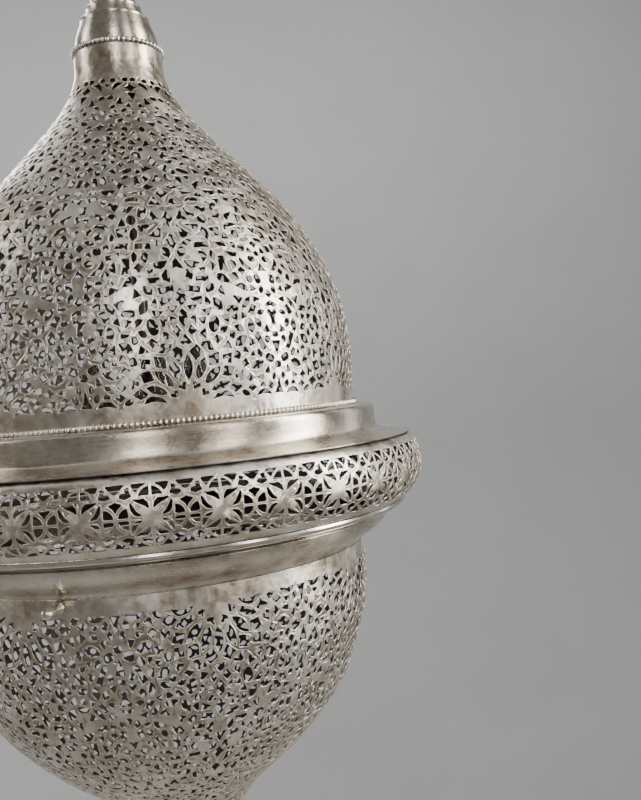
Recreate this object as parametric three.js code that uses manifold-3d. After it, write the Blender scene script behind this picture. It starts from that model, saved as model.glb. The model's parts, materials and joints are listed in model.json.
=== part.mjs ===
// Moroccan metal lantern. A pierced dome and a pierced bowl of spun sheet meet at a wide flange;
// the lantern hangs from a ring, and its bowl swings down on a rear hinge behind a front latch.
// Millimetres, +Z up. The origin is the hang point, the inside top of the hanging ring. The latch
// is at the front (-Y) and the hinge at the back (+Y). The sheets are plain here, not pierced.
import * as THREE from 'three';
import { mergeVertices } from 'three/addons/utils/BufferGeometryUtils.js';
import Module from 'manifold-3d';

const wasm = await Module();
wasm.setup();

// ---------------------------------------------------------------- driving dimensions
// Heights are counted from the foot of the dome; the hang point is HANG_HEIGHT above it.
const HANG_HEIGHT = 578;
const SHEET = 1; // thickness of the spun sheet
const GAP = 0.3; // clearance between pieces that touch
const BIG_FACETS = 32; // facets round a wide ring
const MID_FACETS = 20; // facets round the neck and the turned pieces
const FINE_FACETS = 12; // facets round a small rod or screw

const RING_R = 22; // hanging ring, to the middle of its wire
const RING_WIRE = 3.5;
const LINK_WIRE = 3;
const LINK_HALF_WIDTH = 10;
const LINK_LENGTH = 34; // between the middles of the link's end wires
const EYE_R = 12;
const EYE_WIRE = 3.5;
const SHANK_R = 4;

const NECK_BEAD_R = 39;
const NECK_BEAD_H = 327.7;
const DOME_BEAD_R = 186.1;
const BEAD_WIRE = 2.1;
const TAIL_BEAD_H = -404.9;

const STEM_R = 6;
const STEM_BORE = 4.6;
const ROD_R = 4;

const SPIDER_H = -14; // top face of the spider's arms
const SPIDER_ARMS = 3;
const LAMP_COUNT = 3;
const LAMP_R = 55; // lamps stand on a circle of this radius
const LAMP_SOCKET_H = -46; // foot of each lampholder
const CLUSTER_H = -64; // foot of the lamp cluster's body

const HINGE_Y = 192;
const HINGE_H = -119;
const KNUCKLE_R = 4.5;
const HINGE_HALF = 16; // half the hinge's length
const KNUCKLE_HALF = 6; // half the middle knuckle's length
const PIN_R = 1.8;

const RIM_TOP = -119.6; // top edge of the bowl
const LATCH_H = -124.5;
const LATCH_SPINDLE_R = 2.2;
const CAM_Y = -175;
const BOWL_SEAM = 6; // the step of the bowl's outline where its foot is soldered on

// ---------------------------------------------------------------- outlines, [radius, height]
const DOME = [[39, 325.2], [39.4, 314], [40.6, 304], [48.5, 284], [66, 259.5], [97, 224.5],
  [127, 191.5], [151, 159.5], [168.5, 127], [180, 95], [185, 64], [186.2, 42], [185, 18],
  [183.6, -2]];
const BOWL = [[183.4, RIM_TOP], [183, -150], [180.6, -176], [176, -192], [167.7, -216],
  [156, -242], [136.3, -268], [111.1, -294], [80.6, -319.5], [62.4, -339], [50.8, -358],
  [42.6, -377], [39.6, -392], [39.4, -402]];
const COVE = [[176, -2.4], [197, -2.9], [201.6, -6.6], [202, -19], [205, -24.2], [213, -27],
  [231.6, -29]];
const FLANGE = [[221, -30.8], [229, -31], [237.2, -39], [240, -52], [239, -64.5],
  [233.4, -75.8], [224.2, -84.2]];
const COLLAR = [[192, -90.7], [204, -90.7], [204.6, -93.4], [208.6, -94.6], [203, -103.2],
  [193, -110.6], [183.8, -118.8]];
const CONE = [[9.5, 440.7], [14.6, 415], [18.2, 390], [20.3, 370.5]];
const CAP = [[20.9, 370.2], [22.4, 367.6], [27.6, 356.6], [29.3, 353.6], [34, 344.6],
  [36.6, 336.6], [36.9, 330.2]];
const KNOP = [[7, 489], [6.6, 482], [14, 474], [18, 463], [14, 452], [8.6, 446.6], [11, 444],
  [11, 441]];
const FINIAL_STEM = [[20.6, -447.4], [13, -453], [9, -462], [11, -465.6]];
const FINIAL_BALL = [[7, -466], [13, -472], [15.4, -481], [13, -490], [7, -496]];
const FINIAL_DROP = [[6, -496.3], [8.6, -501], [6.4, -508], [2.6, -516], [0, -520]];

// ---------------------------------------------------------------- finishes
function metal(color, roughness) {
  return new THREE.MeshStandardMaterial({ color, roughness, metalness: 1 });
}
const FINISH = {
  sheet: metal(0xb9b0a0, 0.36),
  trim: metal(0xcfc8b8, 0.28),
  cast: metal(0xb4ab9b, 0.4),
  steel: metal(0x8f8f8d, 0.45),
  brass: metal(0xb49a62, 0.4),
  porcelain: new THREE.MeshStandardMaterial({ color: 0xe9e5dc, roughness: 0.3 }),
  glass: new THREE.MeshStandardMaterial({ color: 0xf2f4f2, roughness: 0.1, opacity: 0.4,
    transparent: true }),
};

// ---------------------------------------------------------------- solids
// Joins coincident corners, drops empty triangles and turns the faces outwards.
function closed(geometry) {
  const bare = geometry.clone();
  bare.deleteAttribute('normal');
  bare.deleteAttribute('uv');
  const merged = mergeVertices(bare, 1e-3);
  const at = merged.attributes.position;
  const [a, b, c] = [new THREE.Vector3(), new THREE.Vector3(), new THREE.Vector3()];
  const faces = [];
  let volume = 0;
  for (let i = 0; i < merged.index.count; i += 3) {
    const corners = [0, 1, 2].map((k) => merged.index.getX(i + k));
    if (new Set(corners).size === 3) {
      a.fromBufferAttribute(at, corners[0]);
      b.fromBufferAttribute(at, corners[1]);
      c.fromBufferAttribute(at, corners[2]);
      volume += a.dot(b.cross(c));
      faces.push(corners);
    }
  }
  const outward = volume > 0 ? faces : faces.map(([p, q, r]) => [p, r, q]);
  merged.setIndex(outward.flat());
  return merged;
}

function toManifold(geometry) {
  const solid = closed(geometry);
  const mesh = new wasm.Mesh({
    numProp: 3,
    vertProperties: new Float32Array(solid.attributes.position.array),
    triVerts: new Uint32Array(solid.index.array),
  });
  mesh.merge();
  return new wasm.Manifold(mesh);
}

function fromManifold(manifold) {
  const { vertProperties, triVerts } = manifold.getMesh();
  const geometry = new THREE.BufferGeometry();
  geometry.setAttribute('position', new THREE.BufferAttribute(new Float32Array(vertProperties), 3));
  geometry.setIndex([...triVerts]);
  return geometry;
}

// Joins the first list of shapes, then cuts the second list out of it.
function carve(joined, cuts) {
  let solid = toManifold(joined[0]);
  for (const shape of joined.slice(1)) solid = solid.add(toManifold(shape));
  for (const shape of cuts) solid = solid.subtract(toManifold(shape));
  return fromManifold(solid);
}

function common(first, second) {
  return fromManifold(toManifold(first).intersect(toManifold(second)));
}

const toPoints = (outline) => outline.map(([r, h]) => new THREE.Vector2(r, h));
const smooth = (outline, steps) => new THREE.SplineCurve(toPoints(outline)).getPoints(steps);

// Turns a closed [radius, height] section about the Z axis.
function turned(section, facets) {
  const loop = [...section, section[0]];
  return new THREE.LatheGeometry(loop, facets).rotateX(Math.PI / 2);
}

// A downward outline moved to its inner side by a distance; a negative distance moves it outwards.
function setBack(outline, distance) {
  return outline.map((point, i) => {
    const before = outline[Math.max(i - 1, 0)];
    const after = outline[Math.min(i + 1, outline.length - 1)];
    const along = after.clone().sub(before).normalize();
    return new THREE.Vector2(point.x + along.y * distance, point.y - along.x * distance);
  });
}

function sheetSection(outline, thickness = SHEET) {
  return [...outline, ...setBack(outline, thickness).reverse()];
}

// A solid turned shape with a straight bore down its axis; a bore of 0 leaves it solid.
function boredSection(outline, bore) {
  const points = toPoints(outline);
  const last = points[points.length - 1];
  return [...points, new THREE.Vector2(bore, last.y), new THREE.Vector2(bore, points[0].y)];
}

function tube(outer, bore, bottom, top, facets = MID_FACETS) {
  return turned(boredSection([[outer, top], [outer, bottom]], bore), facets);
}

function wireRing(radius, wire, height, facets) {
  return new THREE.TorusGeometry(radius, wire, 6, facets).translate(0, 0, height);
}

function box(width, depth, height, x, y, z) {
  return new THREE.BoxGeometry(width, depth, height).translate(x, y, z);
}

// A rod along X, centred on x, at the hinge's axis.
function hingeRod(radius, length, x) {
  const rod = new THREE.CylinderGeometry(radius, radius, length, FINE_FACETS);
  return rod.rotateZ(Math.PI / 2).translate(x, HINGE_Y, HINGE_H);
}

// A rod along Y between two places, at the latch's height.
function latchRod(radius, from, to, facets = FINE_FACETS) {
  const rod = new THREE.CylinderGeometry(radius, radius, Math.abs(to - from), facets);
  return rod.translate(0, (from + to) / 2, LATCH_H);
}

function hexNut(acrossCorners, bore, bottom, top) {
  const hole = tube(bore, 0, bottom - 1, top + 1, FINE_FACETS);
  return carve([tube(acrossCorners / 2, 0, bottom, top, 6)], [hole]);
}

// Centreline of an oval link standing in the YZ plane, about its own middle.
class LinkCurve extends THREE.Curve {
  getPoint(t) {
    const straight = LINK_LENGTH / 2 - LINK_HALF_WIDTH;
    const angle = t * 2 * Math.PI;
    const rise = Math.sin(angle);
    return new THREE.Vector3(0, LINK_HALF_WIDTH * Math.cos(angle),
      LINK_HALF_WIDTH * rise + straight * Math.tanh(3 * rise) / Math.tanh(3));
  }
}

// ---------------------------------------------------------------- assembly
const lantern = new THREE.Group();
lantern.position.z = -HANG_HEIGHT;

function add(name, geometry, finish, turn = 0) {
  const mesh = new THREE.Mesh(closed(geometry), FINISH[finish]);
  mesh.name = name;
  mesh.rotation.z = turn;
  lantern.add(mesh);
}

function addHanger() {
  const ringHeight = HANG_HEIGHT - RING_R + RING_WIRE;
  const linkTop = ringHeight - RING_R + RING_WIRE + GAP + LINK_WIRE;
  const linkFoot = linkTop - LINK_LENGTH;
  const eyeHeight = linkFoot + LINK_WIRE + GAP + EYE_WIRE - EYE_R;
  const ring = new THREE.TorusGeometry(RING_R, RING_WIRE, 8, MID_FACETS).rotateX(Math.PI / 2);
  add('hanging_ring', ring.translate(0, 0, ringHeight), 'cast');
  const link = new THREE.TubeGeometry(new LinkCurve(), MID_FACETS, LINK_WIRE, 8, true);
  add('hanging_link', link.translate(0, 0, (linkTop + linkFoot) / 2), 'cast');
  const eye = new THREE.TorusGeometry(EYE_R, EYE_WIRE, 8, MID_FACETS).rotateX(Math.PI / 2);
  const shank = tube(SHANK_R, 0, 417, eyeHeight - EYE_R, FINE_FACETS);
  add('top_eye', carve([eye.translate(0, 0, eyeHeight), shank], []), 'cast');
}

function addSpire() {
  add('spire_knop', turned(boredSection(KNOP, SHANK_R + GAP), MID_FACETS), 'cast');
  add('spire_cone', turned(sheetSection(smooth(CONE, 3)), MID_FACETS), 'sheet');
  add('neck_cap', turned(sheetSection(toPoints(CAP)), MID_FACETS), 'sheet');
  add('neck_sleeve', tube(36.4, 35.2, 300, 329.8), 'sheet');
  add('neck_bead_wire', wireRing(NECK_BEAD_R, BEAD_WIRE, NECK_BEAD_H, MID_FACETS), 'trim');
  const socket = tube(STEM_R + GAP, 0, 400, 416.5, FINE_FACETS);
  const thread = tube(SHANK_R + GAP, 0, 410, 432, FINE_FACETS);
  add('stem_coupling', carve([tube(9.5, 0, 402, 430, 6)], [socket, thread]), 'brass');
}

function addDome() {
  add('dome_shell', turned(sheetSection(smooth(DOME, 12)), BIG_FACETS), 'sheet');
  add('dome_bead_wire', wireRing(DOME_BEAD_R, BEAD_WIRE, 0, BIG_FACETS), 'trim');
}

function addFlange() {
  add('cove_band', turned(sheetSection(toPoints(COVE)), BIG_FACETS), 'sheet');
  add('flange_ring', turned(sheetSection(toPoints(FLANGE)), BIG_FACETS), 'sheet');
  const lip = [[219, -84.7], [223.6, -84.7], [224, -86.8], [222.8, -88.8], [219, -88.8]];
  add('flange_lip', turned(toPoints(lip), BIG_FACETS), 'trim');
  add('flange_floor', tube(220.6, 190, -90.3, -89.1, BIG_FACETS), 'sheet');
  add('collar', turned(sheetSection(toPoints(COLLAR)), BIG_FACETS), 'sheet');
}

function addStem() {
  add('stem_tube', tube(STEM_R, STEM_BORE, CLUSTER_H + 6, 416, FINE_FACETS), 'brass');
  add('neck_plate', tube(34.9, STEM_R + GAP, 321, 323), 'brass');
  add('neck_nut', hexNut(20, STEM_R + GAP, 314, 320.7), 'brass');
  add('spider_hub', tube(24, STEM_R + GAP, SPIDER_H - 7, SPIDER_H - 3.3), 'steel');
  add('spider_nut', hexNut(20, STEM_R + GAP, SPIDER_H - 14, SPIDER_H - 7.3), 'brass');
}

// An arm is a flat bar with a tab turned down against the inside of the cove band.
function addSpiderArm(index) {
  const turn = (index / SPIDER_ARMS) * 2 * Math.PI;
  const bar = new THREE.Shape(toPoints([[10, -3], [10, 0], [199, 0], [199, -9], [196.4, -9],
    [196.4, -3]]));
  const arm = new THREE.ExtrudeGeometry(bar, { depth: 14, bevelEnabled: false });
  arm.translate(0, 0, -7).rotateX(Math.PI / 2).translate(0, 0, SPIDER_H);
  add(`spider_arm_${index}`, arm, 'steel', turn);
}

function addLamp(index) {
  const turn = ((index + 0.5) / LAMP_COUNT) * 2 * Math.PI;
  const bend = 12;
  const level = CLUSTER_H + 6;
  const path = new THREE.CurvePath();
  const corner = new THREE.Vector3(LAMP_R, 0, level);
  const start = new THREE.Vector3(16.4, 0, level);
  const turnIn = new THREE.Vector3(LAMP_R - bend, 0, level);
  const turnUp = new THREE.Vector3(LAMP_R, 0, LAMP_SOCKET_H - GAP);
  path.add(new THREE.LineCurve3(start, turnIn));
  path.add(new THREE.QuadraticBezierCurve3(turnIn, corner, turnUp));
  const circle = new THREE.Shape().absarc(0, 0, 3.6, 0, 2 * Math.PI);
  const arm = new THREE.ExtrudeGeometry(circle, { extrudePath: path, steps: 8, curveSegments: 4 });
  add(`lamp_arm_${index}`, arm, 'brass', turn);
  const foot = LAMP_SOCKET_H;
  const holder = [[13, foot], [15, foot + 6], [12.6, foot + 12], [13.4, foot + 36], [8.3, foot + 36],
    [8.3, foot + 8], [0, foot + 8], [0, foot]];
  const place = (shape) => shape.translate(LAMP_R, 0, 0);
  add(`lampholder_${index}`, place(turned(toPoints(holder), FINE_FACETS)), 'porcelain', turn);
  const cap = [[0, foot + 10], [4, foot + 10], [7.6, foot + 14], [7.6, foot + 37], [0, foot + 37]];
  add(`bulb_cap_${index}`, place(turned(toPoints(cap), FINE_FACETS)), 'steel', turn);
  const bulb = [[0, foot + 37.3], [7.4, foot + 37.3], [16, foot + 56], [17.4, foot + 70],
    [12, foot + 92], [5, foot + 106], [0, foot + 112]];
  add(`bulb_glass_${index}`, place(turned(toPoints(bulb), FINE_FACETS)), 'glass', turn);
}

function addLamps() {
  const bore = tube(STEM_R + GAP, 0, CLUSTER_H + 5.5, CLUSTER_H + 30, FINE_FACETS);
  add('lamp_cluster', carve([tube(16, 0, CLUSTER_H, CLUSTER_H + 14)], [bore]), 'brass');
  for (let i = 0; i < LAMP_COUNT; i += 1) addLamp(i);
}

function addHinge() {
  const slope = toPoints(COLLAR.slice(4));
  const plate = [...setBack(slope, -2 * GAP - 1.5), ...setBack(slope, -2 * GAP).reverse()];
  const reach = box(2 * HINGE_HALF, 60, 60, 0, HINGE_Y, HINGE_H + 30.4);
  const pinHole = hingeRod(PIN_R + GAP, 60, 0);
  const middle = hingeRod(KNUCKLE_R, 2 * KNUCKLE_HALF, 0);
  const web = box(2 * KNUCKLE_HALF, 5, 2, 0, HINGE_Y - 2.3, HINGE_H + 1.5);
  const sideLength = HINGE_HALF - KNUCKLE_HALF - GAP;
  const sideX = (HINGE_HALF + KNUCKLE_HALF + GAP) / 2;
  const room = (x) => hingeRod(KNUCKLE_R + GAP, sideLength + 1, x * (sideX + 0.35));
  add('hinge_upper_leaf', carve([common(turned(plate, BIG_FACETS), reach), web, middle],
    [room(-1), room(1), pinHole]), 'trim');

  const drop = tube(185.5, 184, HINGE_H - 31, HINGE_H - 2, BIG_FACETS);
  const sides = [-1, 1].map((s) => hingeRod(KNUCKLE_R, sideLength, s * sideX));
  const webs = [-1, 1].map((s) => box(sideLength, 6.6, 3, s * sideX, HINGE_Y - 4.1, HINGE_H - 2.1));
  const lowerReach = box(2 * HINGE_HALF, 60, 60, 0, HINGE_Y, HINGE_H - 5);
  const midRoom = hingeRod(KNUCKLE_R + GAP, 2 * (KNUCKLE_HALF + GAP), 0);
  add('hinge_lower_leaf', carve([common(drop, lowerReach), ...webs, ...sides],
    [midRoom, pinHole]), 'trim');
  add('hinge_pin', hingeRod(PIN_R, 2 * HINGE_HALF + 3, 0), 'steel');

  // The upper rivets stand square to the collar's slope, on the leaf's outer face.
  const [high, low] = [COLLAR[4], COLLAR[5]];
  const lean = Math.atan2(low[0] - high[0], high[1] - low[1]);
  const out = 3.8;
  const rivetY = (high[0] + low[0]) / 2 + out * Math.cos(lean);
  const rivetH = (high[1] + low[1]) / 2 + out * Math.sin(lean);
  for (const [side, label] of [[-1, 'left'], [1, 'right']]) {
    const upper = new THREE.CylinderGeometry(2.4, 3, 1.4, 8).rotateX(lean);
    add(`hinge_upper_rivet_${label}`, upper.translate(side * 10, rivetY, rivetH), 'trim');
    const lower = new THREE.CylinderGeometry(3, 2.4, 1.4, 8);
    add(`hinge_lower_rivet_${label}`, lower.translate(side * 10, 186.5, -138), 'trim');
  }
}

function addLatch() {
  const knob = [[4.6, -184], [4.6, -185.2], [3, -186.2], [3, -190], [3.7, -192], [3.9, -198],
    [3.3, -202.4], [1.6, -204]];
  const section = [[LATCH_SPINDLE_R, -171], [LATCH_SPINDLE_R, -184], ...knob, [0, -204], [0, -171]];
  const outline = section.map(([r, y]) => new THREE.Vector2(r, y));
  const spun = new THREE.LatheGeometry([...outline, outline[0]], FINE_FACETS);
  add('latch_knob', spun.translate(0, 0, LATCH_H), 'trim');

  const finger = box(8, 2, 18, 0, CAM_Y, LATCH_H + 9);
  const boss = latchRod(6, CAM_Y - 1, CAM_Y + 1);
  const hole = latchRod(LATCH_SPINDLE_R + GAP, CAM_Y - 4, CAM_Y + 4);
  add('latch_cam', carve([boss, finger], [hole]), 'steel');
  const nut = latchRod(4.6, CAM_Y + 1.3, CAM_Y + 3.6, 6);
  const nutHole = latchRod(LATCH_SPINDLE_R + GAP, CAM_Y - 4, CAM_Y + 8);
  add('latch_nut', carve([nut], [nutHole]), 'brass');

  // The keeper's two leaves grip the finger from front and back, and are open below.
  const keeper = new THREE.Shape(toPoints([[171.8, -116], [172.8, -116], [172.8, -101],
    [177.2, -101], [177.2, -116], [178.2, -116], [178.2, -101], [202.4, -101], [202.4, -99.6],
    [171.8, -99.6]]));
  const clip = new THREE.ExtrudeGeometry(keeper, { depth: 12, bevelEnabled: false });
  add('latch_keeper', clip.translate(0, 0, -6).rotateX(Math.PI / 2).rotateZ(-Math.PI / 2), 'steel');
}

function addBowl() {
  const spindleHole = latchRod(LATCH_SPINDLE_R + 0.5, -170, -190);
  const outline = smooth(BOWL, 12);
  const shell = turned(sheetSection(outline.slice(0, BOWL_SEAM + 1)), BIG_FACETS);
  add('bowl_shell', carve([shell], [spindleHole]), 'sheet');
  const foot = outline.slice(BOWL_SEAM);
  const apart = GAP / foot[0].distanceTo(foot[1]);
  foot[0] = foot[0].clone().lerp(foot[1], apart);
  add('bowl_foot', turned(sheetSection(foot), BIG_FACETS), 'sheet');
  const rim = tube(181.9, 180, RIM_TOP - 13, RIM_TOP - 0.2, BIG_FACETS);
  add('bowl_rim', carve([rim], [spindleHole]), 'sheet');
  add('tail_bead_wire', wireRing(NECK_BEAD_R, BEAD_WIRE, TAIL_BEAD_H, MID_FACETS), 'trim');
  const drop = TAIL_BEAD_H + NECK_BEAD_H;
  const mirrored = CAP.map(([r, h]) => [r, drop - h]).reverse();
  add('tail_cap', turned(sheetSection(toPoints(mirrored)), MID_FACETS), 'sheet');
  add('tail_sleeve', tube(36.4, 35.2, -407, -386), 'sheet');
  add('tail_plate', tube(34.9, ROD_R + GAP, -400, -398), 'brass');
  add('tail_nut', hexNut(14, ROD_R + GAP, -397.7, -392), 'brass');
}

function addFinial() {
  add('finial_rod', tube(ROD_R, 0, -494, -388, FINE_FACETS), 'brass');
  add('finial_stem', turned(boredSection(FINIAL_STEM, ROD_R + GAP), MID_FACETS), 'cast');
  add('finial_ball', turned(boredSection(FINIAL_BALL, ROD_R + GAP), MID_FACETS), 'cast');
  const tip = [...toPoints(FINIAL_DROP), new THREE.Vector2(0, FINIAL_DROP[0][1])];
  add('finial_drop', turned(tip, MID_FACETS), 'cast');
}

addHanger();
addSpire();
addDome();
addFlange();
addStem();
for (let i = 0; i < SPIDER_ARMS; i += 1) addSpiderArm(i);
addLamps();
addHinge();
addLatch();
addBowl();
addFinial();

const group = new THREE.Group();
group.add(lantern);
group.updateMatrixWorld(true);

export default group;
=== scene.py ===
import json
import math

import bpy
import numpy as np
from mathutils import Matrix, Vector
from mathutils.geometry import delaunay_2d_cdt


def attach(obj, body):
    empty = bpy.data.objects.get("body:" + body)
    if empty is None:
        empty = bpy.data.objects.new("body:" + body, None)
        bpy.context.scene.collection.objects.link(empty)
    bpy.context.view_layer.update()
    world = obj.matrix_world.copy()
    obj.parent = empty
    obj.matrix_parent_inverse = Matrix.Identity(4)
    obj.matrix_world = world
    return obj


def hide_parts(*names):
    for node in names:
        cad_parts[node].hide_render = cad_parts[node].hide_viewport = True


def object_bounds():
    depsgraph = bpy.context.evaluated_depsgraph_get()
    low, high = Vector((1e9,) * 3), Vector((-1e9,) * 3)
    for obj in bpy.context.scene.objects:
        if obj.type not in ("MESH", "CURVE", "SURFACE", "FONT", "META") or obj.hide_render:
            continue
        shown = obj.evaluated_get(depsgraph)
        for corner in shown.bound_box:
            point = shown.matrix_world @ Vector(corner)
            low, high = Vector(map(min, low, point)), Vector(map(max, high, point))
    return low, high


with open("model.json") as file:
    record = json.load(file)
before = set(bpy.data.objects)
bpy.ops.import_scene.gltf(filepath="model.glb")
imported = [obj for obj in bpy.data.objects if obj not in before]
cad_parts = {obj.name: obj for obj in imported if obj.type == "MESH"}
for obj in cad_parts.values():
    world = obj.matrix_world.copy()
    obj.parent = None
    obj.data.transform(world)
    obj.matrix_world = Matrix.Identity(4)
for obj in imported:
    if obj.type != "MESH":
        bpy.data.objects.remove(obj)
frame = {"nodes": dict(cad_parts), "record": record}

CAD_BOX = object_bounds()
MM = 0.001
UP = np.array([0, 0, 1])

# ---- driving dimensions
HANG_HEIGHT = 578
SHEET = 1.0
GAP = 0.3
RING_R = 22
RING_WIRE = 3.5
LINK_WIRE = 3
LINK_HALF_WIDTH = 10
LINK_LENGTH = 34
EYE_R = 12
EYE_WIRE = 3.5
SHANK_R = 4
NECK_BEAD_R = 39
NECK_BEAD_H = 327.7
DOME_BEAD_R = 186.1
TAIL_BEAD_H = -404.9
STEM_R = 6
STEM_BORE = 4.6
ROD_R = 4
SPIDER_H = -14
LAMP_COUNT = 3
LAMP_R = 55
LAMP_SOCKET_H = -46
CLUSTER_H = -64
HINGE_Y = 192
HINGE_H = -119
HINGE_HALF = 16
PIN_R = 1.8
RIM_TOP = -119.6
LATCH_H = -124.5
LATCH_SPINDLE_R = 2.2

# Outlines, (radius, height) from the top down.
DOME = [(39, 325.2), (39.4, 314), (40.6, 304), (48.5, 284), (66, 259.5), (97, 224.5),
        (127, 191.5), (151, 159.5), (168.5, 127), (180, 95), (185, 64), (186.2, 42),
        (185, 18), (183.6, -2)]
BOWL = [(183.4, RIM_TOP), (183, -150), (180.6, -176), (176, -192), (167.7, -216),
        (156, -242), (136.3, -268), (111.1, -294), (80.6, -319.5), (62.4, -339),
        (50.8, -358), (42.6, -377), (39.6, -392), (39.4, -402)]
COVE = [(176, -2.4), (186, -2.5), (197, -2.9), (200.6, -4.2), (201.8, -7.4), (202, -13),
        (202.5, -18.6), (205, -23.6), (213, -26.9), (223, -28.2), (231.6, -29)]
FLANGE = [(221, -30.2), (228, -30.3), (232.6, -31.8), (237.2, -39), (240, -52), (239, -64.5),
          (233.4, -75.8), (224.2, -84.2)]
LIP = [(219, -84.7), (223.2, -84.7), (223.9, -86), (223.9, -87.4), (222.6, -88.8), (219, -88.8)]
COLLAR = [(192, -90.7), (203.4, -90.7), (204.6, -91.6), (204.8, -93.6), (208.2, -94.2),
          (208.6, -95.4), (206.4, -100), (203, -104.2), (198.4, -108), (193, -111.2),
          (188.4, -113.6), (185, -116.4), (183.8, -118.8)]
CONE = [(9.5, 440.7), (14.6, 415), (18.2, 390), (20.3, 370.5)]
CAP = [(20.9, 370.2), (23.8, 369.8), (24.5, 368.6), (24.2, 367.2), (25.4, 363), (27.2, 359.4),
       (30, 358.6), (30.8, 357.4), (30.5, 355.9), (31.9, 351.8), (33.8, 346.8), (35.5, 341.8),
       (36.6, 336.6), (36.9, 330.2)]
KNOP = [(7, 489), (6.6, 484), (9, 480.6), (14.6, 474.6), (17.4, 468), (18, 463), (17.2, 458),
        (14, 452), (9.6, 447.8), (8.6, 446.4), (10.8, 444.8), (11, 441)]
FINIAL_STEM = [(20.6, -447.4), (17.4, -449.2), (13, -453), (10.2, -457.6), (9, -462),
               (10.8, -464), (11, -465.6)]
FINIAL_BALL = [(7, -466), (10.6, -468.4), (13.8, -473), (15.4, -481), (13.8, -489),
               (10.6, -493.6), (7, -496)]
FINIAL_DROP = [(6, -496.3), (8, -498.6), (8.6, -501), (8, -505), (6.2, -509), (3.6, -514),
               (1.6, -518), (0.1, -520)]

# ---- pierced pattern of the dome
# The dome repeats every 45 degrees, and each sector is its own mirror image. A hole is a shape,
# how far across from the sector's axis and how far down from the dome's top edge it lies along
# the sheet, a width, a height, and, if it is turned, how many degrees clockwise from outside.
SECTORS = 8
DOME_AXIS = 33.1
BOWL_AXIS = 34.8


def rows(*texts):
    """Holes from text: a comma ends each, and spaces part its values."""
    words = [hole.split() for text in texts for hole in text.split(",") if hole.strip()]
    return [(shape, *map(float, values)) for shape, *values in words]


# On the sector's axis, and on the line between two sectors, the distance across is left out.
AXIS_HOLES = rows("""
    star 44.5 7.4 8, tri 55 6.2 7.4 180, star 89.5 4.6 4.4, lens 104.5 3 6.5, dart 125.5 6.4 9,
    rhomb 151.5 5 12, dart 173 8.4 9, star 191 8 12.6, star 217.3 8 12, star 238 10 13.4,
    dart 256.3 9.4 9, lens 283.3 6.2 11, lens 298 5.2 11, dart 314.3 9.4 6.2, lens 334 4.4 15.5,""")
EDGE_HOLES = rows("""
    vee 41 4.4 3 180, tri 79.5 3 6 180, star 98.8 6.6 8, star 118.5 6 7, vee 127.5 6 3.6 180,
    vee 142 5.6 4.4, star 159 4.6 5, star 177 4.4 6, bone 206 3.6 6.4, rhomb 240 4 4.6,
    bar 248.5 3 2.6, tri 260.5 4.6 4.4, star 282.5 4.6 5, vee 289.8 9 3.4, wye 300 7.4 11,
    bar 313.5 4.4 2.4, tri 323.6 6.6 9.4 180, bar 336 4 3, horn 350.5 5.4 12,""")
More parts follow.
